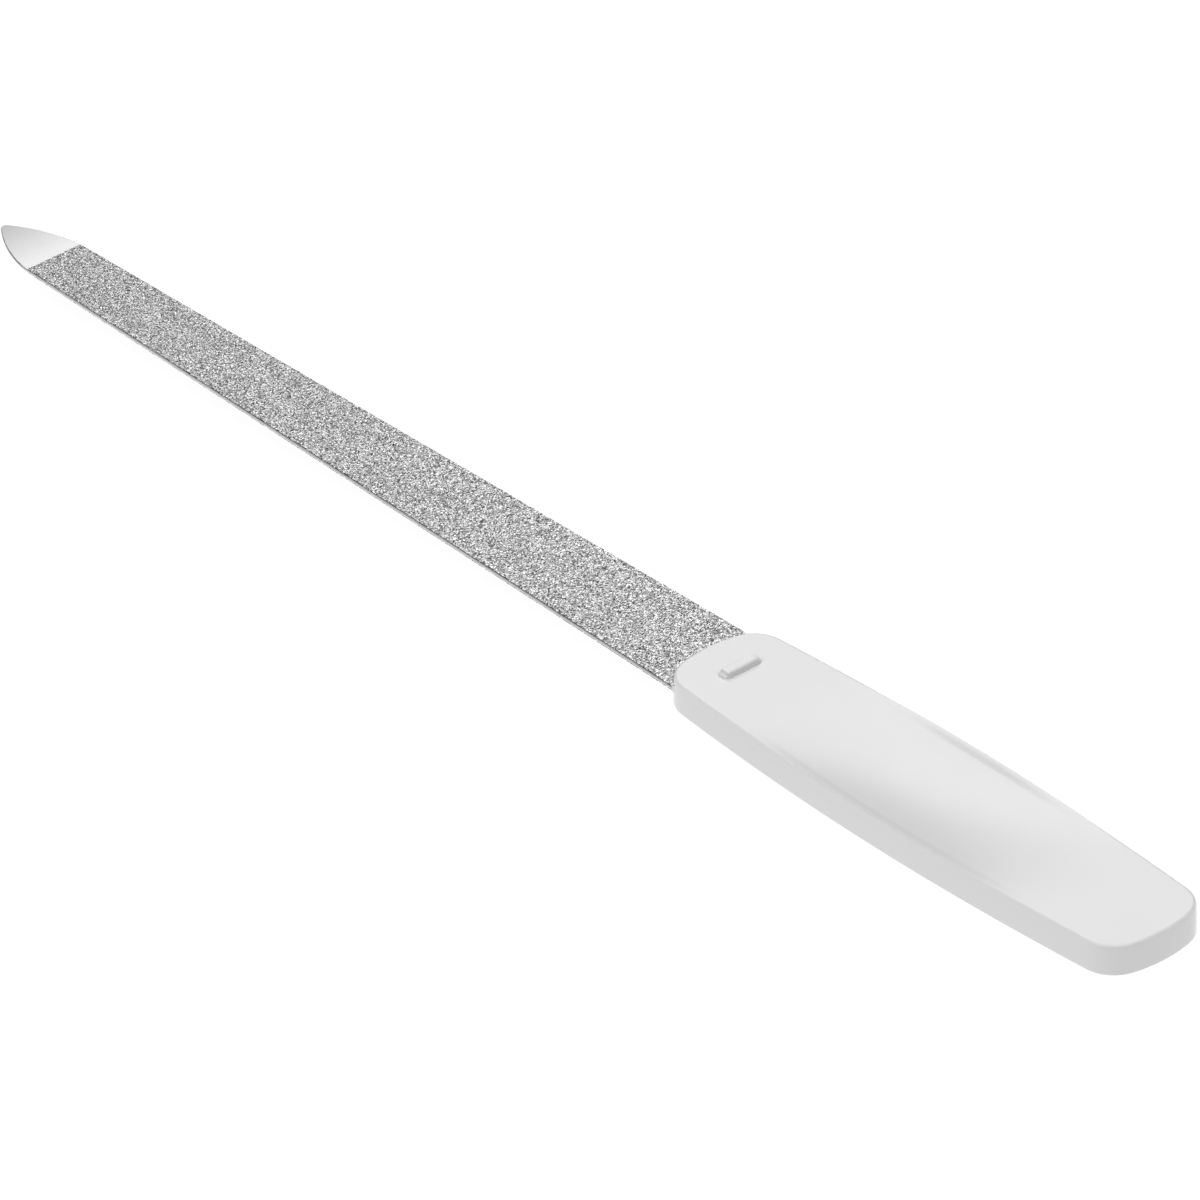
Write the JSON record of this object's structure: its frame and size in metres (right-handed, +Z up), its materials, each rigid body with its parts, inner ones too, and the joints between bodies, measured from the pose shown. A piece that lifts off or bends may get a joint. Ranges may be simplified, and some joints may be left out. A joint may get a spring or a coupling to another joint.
{
  "type": "nail file",
  "caption": "Long tapering steel nail file with an abrasive coat on both faces, a bare rounded point and a bowed white moulded handle with a shallow thumb dish and a small raised bar.",
  "frame": {"origin": "centre of the file's length and width, level with the flat underside of the handle", "axes": "+X from the point towards the handle, +Y across the file, +Z up, out of the face with the thumb dish"},
  "size_m": [0.2, 0.0174, 0.0048],
  "materials": {
    "steel": "bright, fine lengthwise polishing marks",
    "grit": "coarse glittering abrasive grain bonded to the steel",
    "plastic": "satin moulded white"
  },
  "bodies": {
    "root": {"blade": "steel", "grit_top": "grit", "grit_bottom": "grit", "handle": "plastic"}
  },
  "joints": []
}
